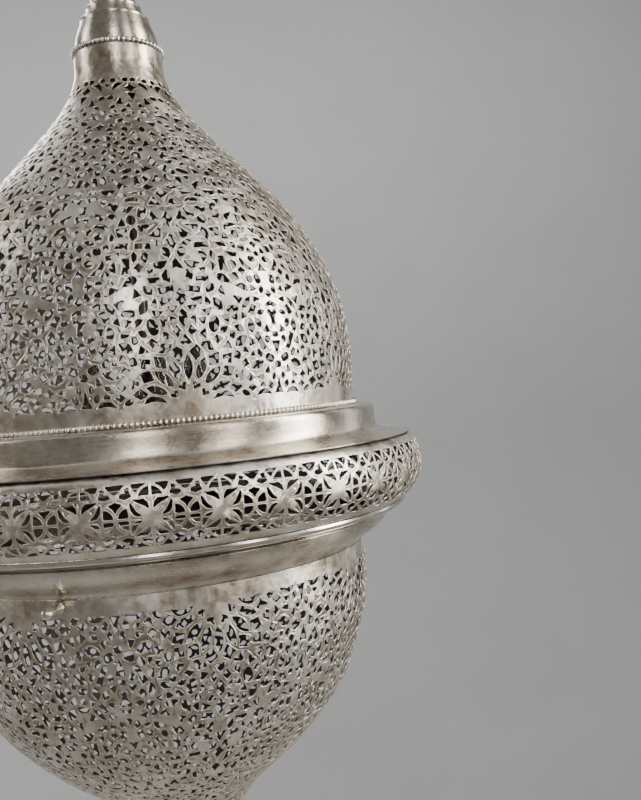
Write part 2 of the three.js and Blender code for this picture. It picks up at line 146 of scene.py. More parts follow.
SIDE_HOLES = rows(
    # below the neck
    """
    bar 3.2 35.2 2.2 2.6 90, bar 13.6 35.8 2.2 2.6 82, arc 10.2 42.6 2.2 10 -49,
    oval 18.3 57.2 3.8 3.9, horn 11 60.5 5.2 11 -6, tri 5.2 68.6 4.2 4.2 -10,
    lens 9.6 75.6 2.8 5.4 -30, lens 18.4 70 2.6 5 -30, lens 18.2 77.4 2.9 5.2 40,
    lens 4.2 78.8 2.3 4.8 55, oval 7 83.8 3 3.2 20, arc 20 85.6 2.5 13 -62,
    lens 16.2 91.6 3 8 -42, tri 9.6 97 5.6 5 180, lens 13.4 104 2.8 5.6 25, oval 22.8 98 3 4 -30,
    oval 25.4 103.6 3.8 4.2 -20, lens 5.4 119 2.4 5.4 18,""",
    # shoulder
    """
    tri 7.4 111.3 6.2 4.2, tri 16 111.5 3.4 4.8, bar 23.8 109.4 2.8 5 -60,
    tri 16.3 118.8 4.4 4.2 180, oval 22.2 116.6 3 3.6, oval 29.6 117 4.6 5.8 25,
    arc 10.2 123.2 3.4 9.4 25, oval 22.4 124.2 3.8 3.8, rhomb 30.4 127.2 5 6.6 -15,
    tri 13.4 133.4 4.8 6.2 165, lens 6.2 134.4 2.4 6 -10, lens 19.6 131 2.6 5 30,
    lens 26.6 134.8 3 5 40, lens 34.4 136.6 2.6 6.6 5, vee 21.3 139.8 5 5 190,
    drop 10.2 143.4 5.6 9.6 208, oval 29 144.2 3.8 6 -10, lens 18.8 146.4 2.6 5 -40,
    tri 36 146.6 3.2 3.6, bar 14.4 151.6 3.4 6.2 92, bar 30.6 151 2.6 3.2, oval 42 151 3 4.6 -5,
    star 24.2 154.8 4.6 5.8, tri 7.8 159.8 6.8 8 32, tri 37.8 157.4 3.6 6.4 175,
    bar 21.6 164 3.4 8.6 -58, tri 31.8 162.6 6 5.4 -20, oval 43.6 164.6 2.8 5.4 20,
    lens 13.6 165.4 2.6 5.8 18,""",
    # upper field
    """
    lens 8.4 172.6 3.2 9.6 -22, bone 16.4 175.6 3.6 8.6 12, arc 23.2 172.2 2.6 6 -50,
    tri 30.8 177.8 5 15.6 38, bar 40.8 174.4 2.8 8 8, bar 46.6 175.4 2.4 8.4 10,
    star 9.2 183.8 7.6 5.2, arc 38.6 186.8 3.8 10.4 90, tri 49.6 186.6 5 4.4,
    tri 18 190.4 4 10.4 88, tri 28.8 191.8 7 4.6 8, bone 51.4 195 3.6 6.8 112,
    tri 6.9 199.2 7 7.2 -4, arc 23.2 199.2 2.8 12 -90, horn 44 201 5.2 9.6 174,
    vee 36.6 204.2 8 8.4 186, bar 17.6 210.6 4 8.8 -12, vee 27.8 208 8.4 4.4 194,
    horn 10.6 212.4 7.4 11 4, lens 39.3 213.6 2.8 6.2 62, tri 49.4 212.2 4.4 9 54,
    arc 57 214.4 2 6.6, oval 26.4 217.8 5 7.4 12, tri 33.2 219.6 4.6 6.2, tri 17 224.4 5.6 9 -70,
    arc 48.6 224.6 2.2 12 -115, vee 35.6 228 8 7 50, vee 58.8 226.6 5.4 4.2 180,
    tri 8.8 229.2 7.2 11 -26, lens 26.4 230.8 4 11 -8, tri 42 232.8 4.6 5.2,
    oval 51.6 231.6 4 7.2, lens 58.6 236.2 1.8 8.6 76, lens 10.8 239 3.8 7.6 70,""",
    # middle field
    """
    bone 21.4 241.4 3.8 10 88, bone 36.4 240.8 3.2 7 82, lens 47.6 241.6 2.8 5.4 -10,
    bar 54 244 4.2 4.8 100, tri 60.4 245.4 4.2 4.2, lens 5.6 247 4.4 8.6 18, arc 20 251 3 8.6 -14,
    lens 28.9 250.4 2.6 7.6 -5, bone 43.8 249.4 2.8 8.4 100, oval 61.4 253.4 5 3.6,
    arc 11.9 256.2 4.4 10.4 100, star 26.6 259 6 5.4, bone 35.2 257.2 4.8 11.4,
    arc 43.6 258.4 2.4 7 4, arc 55.6 257.4 2 13 142, arc 7 266.4 4 9.4 8,
    tri 19 263.2 3.8 3.8 180, star 50.6 263.4 5.4 5.8, bone 17.8 269.8 3.4 8.4 92,
    drop 35 270.4 5.6 10 122, bar 44.4 268 2.3 4.6 -15, bar 56 270.6 3 3.4,
    bar 63.2 270.4 3.2 6 -10, bone 9.6 277.4 3.8 9.6 99, lens 22.6 277 4.2 7.2 42,
    tri 31 278.6 4 5 15, arc 48.4 277.8 3 9 -63, tri 57.7 278 4 3.4 100, lens 65.2 279 2.4 5 20,
    tri 10.8 285.4 5.2 8 -80, tri 19 286.4 3.8 5.6 -15, lens 26.7 289.4 5 9.6 -30,
    horn 42 285 6 9 -50, lens 50 289 3.3 11 45, tri 59 286.4 3.8 3.8 90,""",
    # lower field
    """
    tri 7 291.6 6.6 3.2 180, bar 38.2 293.4 3.2 8 88, tri 18.4 295 6 4 170,
    bone 54.6 294.2 3.8 6.8 28, lens 61.4 296.6 2.1 5 75, tri 8 300.2 3.4 4.4 160,
    tri 14.2 301.8 4 4.8 172, oval 22.3 304.2 6.4 10.6 12, arc 31.4 300.6 2.7 5.4 -45,
    tri 39.6 300.2 4.6 4.4 160, tri 46.8 298.8 3.8 2.8 100, lens 52 306.8 4.2 9.4,
    lens 58.6 304.4 3.4 6.6 -30, star 5.2 308 4.6 6.6, tri 13.8 310 4.8 5.6 25,
    lens 29 308.4 3.3 5.4 60, lens 41.6 308 3.3 6.2 -60, tri 65.6 309.2 5.6 4 10,
    bar 35.6 312.6 2.4 3.8 15, star 23.5 315 5.2 5.2, vee 15.6 318.4 9 5 28,
    tri 31 319.6 5.6 3.8 10, lens 42 317.4 5.2 9.2 54, tri 50.8 318 4.6 4.6 -20,
    bone 58.8 318.6 3.6 12.4 -28, bar 65 317.2 2.4 3.6 25, tri 45 323.8 4.6 3 10,
    bar 57 327 3 4.4 -45, tri 51.4 327 3 3, vee 30.8 328.4 6.8 6 42, bar 38 327.6 3.6 4.2 20,
    bar 65.8 331 3.8 6 -65, star 43.8 333.8 5.6 4.6 15, lens 54.2 335.6 4.4 10.6 69,
    tri 63.2 339.6 3.6 4.2 10,""",
    # rosette at the foot: petals, kites between them, and the notches inside
    """
    lens 9.4 335.6 4.6 15 23, lens 17.6 340.8 4.8 15 46, lens 23.2 348.9 4.2 14 71,
    rhomb 6.8 323.4 8 10 8, rhomb 19.3 329.4 7.6 9.8 42, rhomb 29.4 338.7 7 9 62,
    rhomb 34.6 350.6 5.4 9.6 90, vee 4.6 347.4 5.4 4.2 -145, vee 10.6 353 5 4.2 -145,
    vee 39.2 342.2 6 6.2 32,""",
    # above the plain border
    """
    star 47 344.8 5.4 4.4, tri 56 344.8 2.8 4.4 -90, lens 68.4 344.8 2.2 4.6,
    star 48.4 352 6.6 4.2, tri 58 350.2 4.6 2.8, lens 65 351.4 2.7 5.2 -20,
    arc 25 357.2 2 14.6 -90, arc 59 357.4 1.9 11.6 -90, lens 43 355.4 2.7 6 -65,""")

# ---- pierced pattern of the flange
# A hole is a loop of (across, down) corners in one half of a flower unit, from the flower's axis
# to the line between two flowers; down is counted from the pattern's level line, and each hole
# has its mirror image below that line.
FLOWERS = 33
FLOWER_AZIMUTH = 33.85
FLANGE_LEVEL = 40.7  # how far down the flange's outline the flowers' centres lie
FLANGE_HOLES = [
    # triangle under the top edge, beside the arch over the flower
    [(2.6, -22.3), (12.4, -22.3), (10.4, -18.8), (8.8, -17.2), (7.2, -19.4), (5, -21)],
    # quarter of the arch
    [(0.9, -20.3), (3.4, -19.8), (5.8, -17.8), (7.6, -14.8), (4.6, -15.4), (0.9, -14.6)],
    # leaf with a bite, beside the arch
    [(13.5, -20.4), (16.6, -19.4), (15.4, -17), (18.8, -16.6), (20, -14.4), (16.6, -12.8),
     (12, -14.6), (13.4, -17.4)],
    # between the upright and the slanting petal
    [(1.6, -6.6), (2.6, -10), (4.6, -12.2), (7.8, -11.8), (11.8, -12.6), (8.4, -10.6),
     (4.6, -8.8)],
    # between the slanting and the level petal
    [(13.2, -10.6), (13.4, -5.8), (11, -2.7), (6.8, -1.6), (9.4, -3.8), (11.9, -7.8)],
    # curved triangle beside the level strap
    [(15.3, -7), (18.2, -5.8), (20.3, -3.6), (21.3, -0.9), (15.1, -0.9)]]
FLANGE_EDGE_HOLES = [  # left halves of the holes on the line between two flowers
    [(0, -16.8), (-1.6, -17.6), (-3.4, -19.6), (-6.2, -22.3), (0, -22.3)],
    [(0, -5), (-1.2, -7.2), (-3.9, -9.6), (-1.4, -10.4), (0, -11.2)]]

# ---- hole shapes
# Corners run anticlockwise in a box from -1 to 1; a side bulges outwards by a share of its length.
SHAPES = {
    "tri": ([(0, 1), (-1, -1), (1, -1)], (-0.05, -0.08, -0.05)),
    "horn": ([(0, 1), (-1, -1), (1, -1)], (-0.13, -0.06, -0.13)),
    "rhomb": ([(0, 1), (-1, 0), (0, -1), (1, 0)], (-0.02,) * 4),
    "star": ([(0, 1), (-1, 0), (0, -1), (1, 0)], (-0.13,) * 4),
    "dart": ([(0, 1), (-1, -1), (0, -0.42), (1, -1)], (-0.08, 0.06, 0.06, -0.08)),
    "vee": ([(0, 1), (-1, -0.6), (-0.66, -1), (0, -0.05), (0.66, -1), (1, -0.6)],
            (-0.05, 0, 0.04, 0.04, 0, -0.05)),
    "wye": ([(-0.3, -1), (0.3, -1), (0.26, -0.1), (1, 0.62), (0.6, 1), (0, 0.3), (-0.6, 1),
             (-1, 0.62), (-0.26, -0.1)], (0.1, -0.05, -0.06, 0.1, -0.06, -0.06, 0.1, -0.06, -0.05)),
    "bar": ([(-0.6, 1), (-1, 0.7), (-1, -0.7), (-0.6, -1), (0.6, -1), (1, -0.7), (1, 0.7),
             (0.6, 1)], (0,) * 8),
    "bone": ([(-1, 1), (-1, -1), (1, -1), (1, 1)], (-0.1, -0.12, -0.1, -0.12)),
    "drop": ([(0, 1), (-0.9, -0.3), (-0.5, -1), (0.5, -1), (0.9, -0.3)],
             (-0.04, 0.12, 0.1, 0.12, -0.04)),
}
ARC_BEND = 0.2  # how far an arc bows, as a share of its length
SIDE_STEP = 2.2  # longest step along a hole's curved side
FINEST_STEP = 1.1  # a side shorter than this is one step
FLATTEST_BULGE = 0.12  # a side that bulges by less than this may be one step
MOST_HOLLOW = 0.2  # deepest hollow of a side, as a share of the hole's smaller size
LONGEST_CORNER = 2.2  # how far a widened corner may move, in times the distance
CORNER_CUT = 0.15  # how much of each side is cut off at the corners of the flange's holes
STRAP = 1.7  # narrowest metal left between two holes
DOME_SAWN = 1.1  # how far the saw and file take a hole past its drawn line
FLANGE_SAWN = 0.45
LEAST_SAWN = 0.1  # where a loop still crosses itself at this distance, it is left so
EASE = 0.28  # the eased edge of a sawn hole, down and outwards
WIDEST_STRAP = 5  # widest strap with an engraved middle line
MIDDLE_STEP = 1.5  # shortest step along that line
MIDDLE_CLEAR = 0.6  # least distance of that line from the tile's sides
END_CLEAR = 1.2  # least distance of a tile's even stops from the end of a hole
ROW_STEP = 0.87  # step between the rows of field points, as a share of their spacing
POINT_CLEAR = 0.55  # least distance of a field point from a hole, as a share of the spacing
SAME = 1e-6  # two lengths closer than this are the same


def unit(vectors):
    return vectors / np.maximum(np.linalg.norm(vectors, axis=-1, keepdims=True), 1e-12)


def turns(count):
    """The angles of even steps round a circle."""
    return np.arange(count) * 2 * math.pi / count


def cross(first, second):
    return first[..., 0] * second[..., 1] - first[..., 1] * second[..., 0]


def area(loop):
    """The area inside a flat loop, negative if it runs clockwise."""
    return 0.5 * np.sum(cross(loop, np.roll(loop, -1, axis=0)))


def fine(points, count):
    """count + 1 points along the uniform Catmull-Rom spline through the given points."""
    points = np.array(points, float)
    last = len(points) - 1
    place = np.linspace(0, last, count + 1)
    i = np.minimum(place.astype(int), last - 1)
    w = (place - i)[:, None]
    p0, p1 = points[np.maximum(i - 1, 0)], points[i]
    p2, p3 = points[i + 1], points[np.minimum(i + 2, last)]
    v0, v1 = (p2 - p0) / 2, (p3 - p1) / 2
    return ((2 * p1 - 2 * p2 + v0 + v1) * w ** 3 + (-3 * p1 + 3 * p2 - 2 * v0 - v1) * w ** 2
            + v0 * w + p1)


class Outline:
    """A surface of revolution's outline, read by distance along it."""

    def __init__(self, points):
        self.points = fine(points, 60 * (len(points) - 1))
        steps = np.hypot(*np.diff(self.points, axis=0).T)
        self.down = np.concatenate([[0], np.cumsum(steps)])
        self.length = self.down[-1]
        along = unit(np.gradient(self.points, axis=0))
        self.outward = np.stack([-along[:, 1], along[:, 0]], 1)

    def at(self, down):
        """The radius, the height and the outward direction at distances down the outline."""
        radius, height, *facing = [np.interp(down, self.down, values)
                                   for values in (*self.points.T, *self.outward.T)]
        return radius, height, unit(np.stack(facing, -1))

    def radius(self, down):
        return np.interp(down, self.down, self.points[:, 0])

    def flat(self, places):
        """(across, down) in millimetres for places given as (azimuth, down)."""
        return np.stack([places[:, 0] * self.radius(places[:, 1]), places[:, 1]], 1)


def bowed_side(start, end, rise, steps):
    """Points from start up to, and without, end along a parabola that rises to the left."""
    along = end - start
    left = np.array([-along[1], along[0]]) / max(np.hypot(*along), SAME)
    t = np.arange(steps)[:, None] / steps
    return start + along * t + left * (4 * t * (1 - t) * rise)


def hole_loop(shape, width, height, turn=0, on_axis=False):
    """A hole's outline about its middle, anticlockwise with y upwards, then turned clockwise.

    A hole that stands on a line of symmetry has a point wherever that line crosses it.
    """
    half = np.array([width / 2, height / 2])
    if shape == "oval":
        angle = turns(12) + math.pi / 2
        loop = np.stack([np.cos(angle), np.sin(angle)], 1) * half
    elif shape in ("lens", "arc"):
        bend = ARC_BEND * height if shape == "arc" else 0
        steps = max(4, 2 * round(height / (2 * SIDE_STEP)))
        top = half * (0, 1)
        loop = np.concatenate([bowed_side(top, -top, bend - width / 2, steps),
                               bowed_side(-top, top, -bend - width / 2, steps)])
    else:
        corners, bulges = SHAPES[shape]
        corners = np.array(corners, float) * half
        deepest = MOST_HOLLOW * min(width, height)
        sides = []
        for start, end, bulge in zip(corners, np.roll(corners, -1, axis=0), bulges):
            length = np.hypot(*(end - start))
            curved = abs(bulge) * length > FLATTEST_BULGE
            steps = max(2 if curved else 1, round(length / (FINEST_STEP + SIDE_STEP)) + 1)
            if length < FINEST_STEP:
                steps = 1
            if on_axis and abs(start[0] + end[0]) < SAME:
                steps += steps % 2
            sides.append(bowed_side(start, end, min(-bulge * length, deepest), steps))
        loop = np.concatenate(sides)
    cos, sin = math.cos(math.radians(turn)), math.sin(math.radians(turn))
    return loop @ np.array([[cos, -sin], [sin, cos]])


def widened(loop, distance, room=np.inf):
    """An anticlockwise loop moved outwards by a distance, but no point further than its room."""
    first = unit(loop - np.roll(loop, 1, axis=0))
    second = unit(np.roll(loop, -1, axis=0) - loop)
    out = np.stack([first[:, 1] + second[:, 1], -(first[:, 0] + second[:, 0])], 1)
    size = np.linalg.norm(out, axis=1)
    far = distance * np.minimum(2 / np.maximum(size, 0.1), LONGEST_CORNER)
    return loop + unit(out) * np.minimum(far, room)[:, None]


def crosses_itself(loop):
    """Whether two sides of a loop that do not touch cross each other."""
    ahead = np.roll(loop, -1, axis=0)
    i, j = np.triu_indices(len(loop), 2)
    apart = (i > 0) | (j < len(loop) - 1)
    i, j = i[apart], j[apart]

    def parts(one, other):
        """Whether the line through one side has the ends of the other on both its sides."""
        along = ahead[one] - loop[one]
        return cross(along, loop[other] - loop[one]) * cross(along, ahead[other] - loop[one]) < 0

    return bool(np.any(parts(i, j) & parts(j, i)))


# ---- from loops to pierced sheet
FIELD, EASED, SAWN, MIDDLE = range(4)  # kinds of points; the last is the middle of a strap


def sector_holes(outline, sector):
    """Every hole of half a dome sector: (sawn loop, eased loop), as (azimuth, distance down)."""
    loops = []
    for azimuth, side, holes in ((0, 1, AXIS_HOLES), (sector / 2, -1, EDGE_HOLES)):
        for shape, down, *size in holes:
            loops.append((azimuth, down, hole_loop(shape, *size, on_axis=True), side))
    for shape, across, down, *size in SIDE_HOLES:
        loops.append((across / outline.radius(down), down, hole_loop(shape, *size), 0))
    return sawn_holes(outline, loops, sector / 2, DOME_SAWN)


def flower_holes(outline, repeat):
    """Every hole of half a flower's repeat, as sector_holes gives them."""
    loops = []
    for flip in (1, -1):
        for azimuth, side, holes in ((0, 0, FLANGE_HOLES), (repeat / 2, -1, FLANGE_EDGE_HOLES)):
            for corners in holes:
                loop = rounded(np.array(corners, float), side) * (1, flip)
                if side:
                    loop = np.concatenate([loop, (loop * (-1, 1))[-2:0:-1]])
                loop = loop if area(loop) > 0 else loop[::-1]
                loops.append((azimuth, FLANGE_LEVEL, loop, side))
    return sawn_holes(outline, loops, repeat / 2, FLANGE_SAWN)


def rounded(corners, is_open):
    """Corners cut once, so that a loop of few corners reads as sawn curves."""
    after = np.roll(corners, -1, axis=0)
    near = corners * (1 - CORNER_CUT) + after * CORNER_CUT
    far = corners * CORNER_CUT + after * (1 - CORNER_CUT)
    points = np.stack([near, far], 1).reshape(-1, 2)
    if is_open:
        points = np.concatenate([corners[:1], points[1:-3], corners[-1:]])
    return points


def kept_half(loops, side):
    """Matching symmetric loops cut to one side of their axis (-1 left, 1 right), end to end."""
    keep = np.nonzero(loops[0][:, 0] * side > -1e-4)[0]
    breaks = np.nonzero(np.diff(keep) > 1)[0]
    if len(breaks):
        keep = np.roll(keep, -(breaks[0] + 1))
    halves = [loop[keep].copy() for loop in loops]
    for loop in halves:
        loop[[0, -1], 0] = 0
    return halves


def sawn_holes(outline, loops, half, furthest):
    """Saws marked holes out until the straps between them are narrow.

    loops holds (azimuth, down, marked loop, side); side is 1 for a hole on the tile's first
    edge, -1 for one on its last edge and 0 for one between them. A point of a loop moves out
    by the furthest, or less where that would leave a strap narrower than STRAP.
    """
    def placed(azimuth, down, loop):
        level = down - loop[:, 1]
        return np.stack([azimuth + loop[:, 0] / outline.radius(level), level], 1)

    marks, owners = [], []
    step = (np.arange(4) / 4)[None, :, None]
    for number, (azimuth, down, loop, side) in enumerate(loops):
        dense = loop[:, None] * (1 - step) + np.roll(loop, -1, axis=0)[:, None] * step
        spots = placed(azimuth, down, dense.reshape(-1, 2))
        marks.append(spots)
        owners += [number] * len(spots)
        for shift, edge in ((0, 1), (2 * half, -1)):
            if side != edge:
                marks.append(spots * (-1, 1) + (shift, 0))
                owners += [-1] * len(spots)
    marks, owners = np.concatenate(marks), np.array(owners)
    holes = []
    for number, (azimuth, down, loop, side) in enumerate(loops):
        spots = placed(azimuth, down, loop)
        gap = spots[:, None] - marks[owners != number]
        gap[..., 0] *= outline.radius(spots[:, 1])[:, None]
        room = np.maximum(np.hypot(gap[..., 0], gap[..., 1]).min(axis=1) - STRAP, 0) / 2
        most = furthest
        while True:
            sawn = widened(loop, most, room)
            pair = [sawn, widened(sawn, EASE)]
            if most <= LEAST_SAWN or not any(map(crosses_itself, pair)):
                break
            most *= 0.8
        if side:
            pair = kept_half(pair, side)
        holes.append([placed(azimuth, down, loop) for loop in pair])
    return holes


def strap_middles(loops, points, half_width):
    """Points along the middles of the straps between holes, where a line is engraved.

    points are flat (across, down) and half_width gives half a repeat's width at a distance down.
    """
    rings = [points[eased] for _, eased in loops]
    everywhere = np.concatenate(rings)
    over = everywhere * (-1, 1)
    beyond = over + np.stack([2 * half_width(over[:, 1]), 0 * over[:, 1]], 1)
    copies = [copy[np.abs(copy[:, 0]) > 0.2] for copy in (over, beyond)]
    middles = np.empty((0, 2))

    def nearest(places, spot):
        return np.min(np.hypot(*(places - spot).T), initial=WIDEST_STRAP)

    for number, (sawn, eased) in enumerate(loops):
        others = np.concatenate(rings[:number] + rings[number + 1:] + copies)
        for spot, way in zip(points[eased], points[eased] - points[sawn]):
            gaps = np.hypot(*(others - spot).T)
            width = gaps.min()
            across = others[gaps.argmin()] - spot
            middle = spot + across / 2
            if (width < WIDEST_STRAP and way @ across > 0.6 * width * np.hypot(*way)
                    and MIDDLE_CLEAR < middle[0] < half_width(middle[1]) - MIDDLE_CLEAR
                    and nearest(everywhere, middle) > 0.45 * width
                    and nearest(middles, middle) > MIDDLE_STEP):
                middles = np.vstack([middles, middle])
    return middles


def tile_border(outline, places, loops, half, spacing):
    """Points round half a repeat, with a point wherever a hole that is cut in half ends."""
    sides, rims = [], []
    for azimuth in (0, half):
        cut = [pair for pair in loops if np.ptp(places[pair[1][[0, -1]], 0]) < SAME
               and abs(places[pair[1][0], 0] - azimuth) < SAME]
        spans = [sorted(places[eased[[0, -1]], 1]) for _, eased in cut]
        even = np.linspace(0, outline.length, max(2, round(outline.length / spacing) + 1))
        stops = {d for d in even
                 if all(not low - END_CLEAR < d < high + END_CLEAR for low, high in spans)}
        stops |= {places[ring[k], 1] for pair in cut for ring in pair for k in (0, -1)}
        sides.append([(azimuth, d) for d in sorted(stops | {0.0, outline.length})])
    for down in (0, outline.length):
        count = max(2, round(half * outline.radius(down) / spacing * 1.4))
        rims.append([(half * k / count, down) for k in range(1, count)])
    return sides[0][:1] + rims[0] + sides[1] + rims[1][::-1] + sides[0][:0:-1]


def half_tile(outline, holes, half, spacing):
    """Triangulates half a repeat of a pierced sheet, from azimuth 0 to half.

    Gives the points (azimuth, down), each one's kind, the sawn point that it stands by, the
    direction into its hole, and the triangles of the field and of the eased edge.
    """
    places = np.concatenate([loop for pair in holes for loop in pair])
    loops, start = [], 0
    for sawn, _ in holes:
        numbers = np.arange(start, start + 2 * len(sawn))
        loops.append((numbers[:len(sawn)], numbers[len(sawn):]))
        start += 2 * len(sawn)
    border = tile_border(outline, places, loops, half, spacing)
    middles = strap_middles(loops, outline.flat(places),
                            lambda down: half * outline.radius(down))
    near = np.concatenate([outline.flat(np.concatenate([places, border])), middles])
    field = []
    levels = np.arange(spacing, outline.length - spacing / 2, spacing * ROW_STEP)
    for row, down in enumerate(levels):
        radius = outline.radius(down)
        for x in np.arange((row % 2 + 1) * spacing / 2, half * radius - spacing / 2, spacing):
            if np.hypot(*(near - (x, down)).T).min() > spacing * POINT_CLEAR:
                field.append((x / radius, down))
    middles = [(x / outline.radius(down), down) for x, down in middles]
    places = np.array([*places, *border, *field, *middles])
    plane = outline.flat(places)
    kinds = np.full(len(places), FIELD)
    kinds[len(places) - len(middles):] = MIDDLE
    partner = np.arange(len(places))
    into = np.zeros_like(plane)
    faces = [list(range(start, start + len(border)))]
    for sawn, eased in loops:
        kinds[sawn], kinds[eased] = SAWN, EASED
        partner[eased] = sawn
        into[sawn] = into[eased] = unit(plane[sawn] - plane[eased])
        ends = [sawn[-1], sawn[0]]
        cut = np.ptp(places[[*ends, *eased[[0, -1]]], 0]) < SAME
        for ring in ([*sawn], [*eased, *(ends if cut else ())]):
            faces.append(ring if area(plane[ring]) > 0 else ring[::-1])
    _, _, triangles, from_points, _, from_faces = delaunay_2d_cdt(
        [Vector(p) for p in plane], [], faces, 1, 1e-5, True)
    source = np.array([max(origins, key=lambda i: kinds[i]) for origins in from_points])
    field_faces, eased_faces = [], []
    for triangle, origins in zip(triangles, from_faces):
        # face 0 is the border, odd faces are sawn loops and the other even ones eased loops
        if 0 in origins and not any(number % 2 for number in origins):
            (eased_faces if any(origins) else field_faces).append(source[list(triangle)])
    return places, kinds, partner, into, np.array(field_faces), np.array(eased_faces)


def merged(points):
    """One number for each place, the same for points at the same place.

    Places are told apart in steps of half a micrometre. The odd shift keeps round values away
    from the edge of a step.
    """
    keys = np.floor(points * 2000 + 0.137).astype(np.int64)
    _, first, number = np.unique(keys, axis=0, return_index=True, return_inverse=True)
    return first, number.ravel()


def pierced_piece(name, outline, tile, first_azimuth, repeat, copies):
    """An object of neighbouring repeats of a tile: a closed body of pierced sheet.

    Each point keeps how near it is to a sawn edge, whether it is the middle of a strap or on
    the inside, and where it lies in its half tile.
    """
    places, kinds, partner, into, *skins = tile
    count = len(places)
    radius, height, facing = outline.at(places[:, 1])
    which = np.tile(np.arange(count), 2 * copies)
    mirror = np.repeat(np.tile([1, -1], copies), count)
    copy = np.repeat(np.arange(copies), 2 * count)
    angle = first_azimuth + copy * repeat + mirror * places[which, 0]
    radial = np.stack([np.sin(angle), -np.cos(angle), 0 * angle], 1)
    tangent = np.stack([np.cos(angle), np.sin(angle), 0 * angle], 1)
    normal = radial * facing[which, :1] + UP * facing[which, 1:]
    downward = radial * facing[which, 1:] - UP * facing[which, :1]
    way = unit(mirror[:, None] * tangent * into[which, :1] + downward * into[which, 1:])
    spot = radial * radius[which, None] + UP * height[which, None]
    outer = spot - normal * np.where(kinds[which] == SAWN, EASE, 0)[:, None]
    inner = spot - normal * SHEET
    first, number = merged(outer)
    starts = np.arange(2 * copies) * count
    field, eased = [number[(np.stack([skin[:, (0, 2, 1)], skin] * copies)
                            + starts[:, None, None]).reshape(-1, 3)] for skin in skins]
    fold_of = number[(partner + starts[:, None]).ravel()][first]
    outer, inner, normal, way, which = (a[first] for a in (outer, inner, normal, way, which))
    kind, total = kinds[which], len(first)

    backs = fold_of[field][:, ::-1] + total
    backs = backs[[len(set(face)) == 3 for face in backs.tolist()]]
    skin = np.concatenate([field, eased])
    edges = np.concatenate([skin[:, [0, 1]], skin[:, [1, 2]], skin[:, [2, 0]]])
    codes = edges[:, 0] * total + edges[:, 1]
    lonely = edges[~np.isin(codes, edges[:, 1] * total + edges[:, 0])]

    points = np.concatenate([outer, inner])
    # the eased edge ends 60 degrees from the sheet's face
    eased_normal = np.where((kind == SAWN)[:, None], unit(normal * 0.5 + way * 0.87), normal)
    faces = np.concatenate([field, eased, backs]).tolist()
    normals = [*np.concatenate([normal[field], eased_normal[eased],
                                -normal[backs - total]]).reshape(-1, 3)]
    for a, b in lonely.tolist():
        wall = [b, a, *(fold_of[[a, b]] + total)]
        if wall[2] == wall[3]:
            wall = wall[:3]
        sawn = kind[a] == kind[b] == SAWN
        flat = unit(np.cross(*(points[wall[1:3]] - points[b])))
        faces.append(wall)
        normals += [way[i % total] if sawn and way[i % total] @ flat > 0.3 else flat
                    for i in wall]
    across = np.stack([places[which, 0] * radius[which], places[which, 1], 0.0 * kind], 1)
    # the inner face is marked inside, and the material paints it dark: tarnish and painted shade
    return make_mesh(name, points, faces, normals,
                     sawn_edge=np.tile(np.choose(kind, [0.0, 0.4, 1.0, 0.0]), 2),
                     strap_middle=np.tile(kind == MIDDLE, 2), inside=np.repeat([0, 1], total),
                     tile_place=np.tile(across, (2, 1)))


def make_mesh(name, points, faces, normals=None, **attributes):
    """An object of points in millimetres, less those that no face uses.

    attributes are kept with the points: a number or a vector for each.
    """
    used = np.zeros(len(points), bool)
    used[[i for face in faces for i in face]] = True
    new = np.cumsum(used) - 1
    mesh = bpy.data.meshes.new(name)
    mesh.from_pydata(((points[used] - UP * HANG_HEIGHT) * MM).tolist(), [],
                     [new[face].tolist() for face in faces])
    mesh.validate()
    mesh.shade_smooth()
    if normals is not None:
        mesh.normals_split_custom_set(normals)
    for key, values in attributes.items():
        kind, field = ("FLOAT", "value") if values.ndim == 1 else ("FLOAT_VECTOR", "vector")
        attribute = mesh.attributes.new(key, kind, "POINT")
        attribute.data.foreach_set(field, values[used].astype(np.float32).ravel())
    obj = bpy.data.objects.new(name, mesh)
    bpy.context.scene.collection.objects.link(obj)
    return obj


def finished(obj, body, slot, *nodes, material=None):
    """Gives a piece its body and a material, the given one or else its finish slot's, and hides the CAD
    nodes that it stands for.
    """
    obj.data.materials.clear()
    obj.data.materials.append(material or SLOT_MATERIALS[slot])
    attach(obj, body)
    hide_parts(*nodes)


